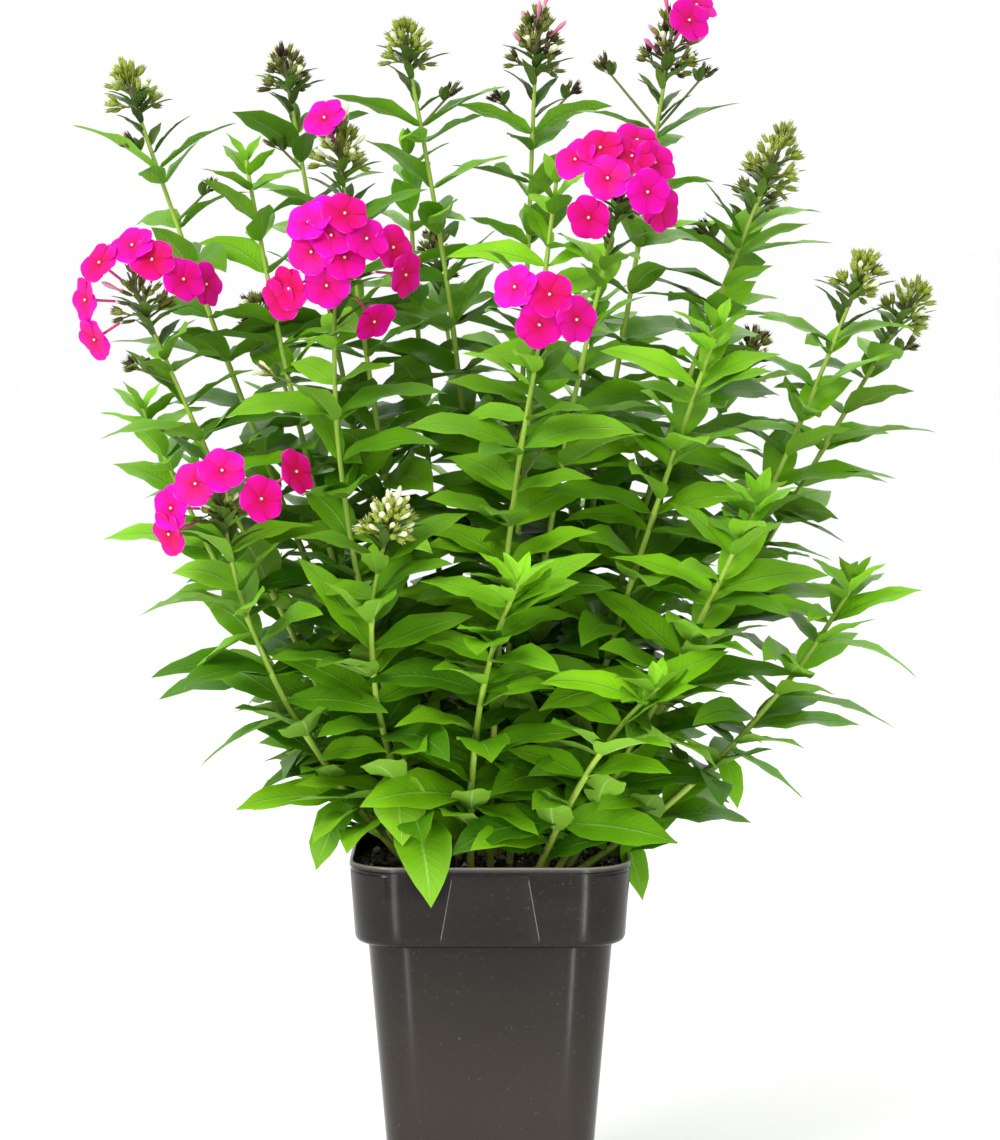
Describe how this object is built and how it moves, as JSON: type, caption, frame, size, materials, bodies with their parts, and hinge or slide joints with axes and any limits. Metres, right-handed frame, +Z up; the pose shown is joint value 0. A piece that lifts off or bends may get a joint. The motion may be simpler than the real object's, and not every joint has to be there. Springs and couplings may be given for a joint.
{
  "type": "potted phlox plant",
  "caption": "Garden phlox with upright leafy stems, dark bud heads and clusters of magenta florets, in a tall square plastic nursery pot.",
  "frame": {"origin": "centre of the flat underside of the pot's base", "axes": "+Z up along the pot's height; -Y points out of the pot's label side, towards the viewer; +X to the viewer's right"},
  "size_m": [0.5408, 0.4274, 0.7657],
  "materials": {
    "pot_plastic": "gloss",
    "soil_brown": "matte",
    "leaf_green": "satin",
    "bud_green": "matte",
    "petal_magenta": "satin"
  },
  "bodies": {
    "root": {"florets_front_cluster_1": "petal_magenta", "florets_left_cluster_1": "petal_magenta", "florets_left_cluster_2": "petal_magenta", "florets_left_loose_1": "petal_magenta", "florets_left_outer_1": "petal_magenta", "florets_left_single_1": "petal_magenta", "florets_right_cluster_1": "petal_magenta", "florets_right_tall_1": "petal_magenta", "head_front_cluster": "bud_green", "head_front_left": "bud_green", "head_left_back": "bud_green", "head_left_cluster": "bud_green", "head_left_loose": "bud_green", "head_left_outer": "bud_green", "head_left_single": "bud_green", "head_left_tall": "bud_green", "head_middle_left": "bud_green", "head_middle_tall": "bud_green", "head_rear_left": "bud_green", "head_rear_middle": "bud_green", "head_rear_outer_right": "bud_green", "head_right_back": "bud_green", "head_right_cluster": "bud_green", "head_right_edge": "bud_green", "head_right_green": "bud_green", "head_right_outer": "bud_green", "head_right_tall": "bud_green", "pot": "pot_plastic", "soil": "soil_brown", "stem_front_cluster": "leaf_green", "stem_front_left": "leaf_green", "stem_front_young": "leaf_green", "stem_left_back": "leaf_green", "stem_left_cluster": "leaf_green", "stem_left_edge": "leaf_green", "stem_left_loose": "leaf_green", "stem_left_outer": "leaf_green", "stem_left_single": "leaf_green", "stem_left_tall": "leaf_green", "stem_left_young": "leaf_green", "stem_middle_left": "leaf_green", "stem_middle_left_young": "leaf_green", "stem_middle_tall": "leaf_green", "stem_middle_young": "leaf_green", "stem_rear_left": "leaf_green", "stem_rear_middle": "leaf_green", "stem_rear_outer_left": "leaf_green", "stem_rear_outer_right": "leaf_green", "stem_rear_right": "leaf_green", "stem_right_back": "leaf_green", "stem_right_bright": "leaf_green", "stem_right_cluster": "leaf_green", "stem_right_edge": "leaf_green", "stem_right_front": "leaf_green", "stem_right_green": "leaf_green", "stem_right_low": "leaf_green", "stem_right_outer": "leaf_green", "stem_right_short": "leaf_green", "stem_right_tall": "leaf_green"}
  },
  "joints": []
}
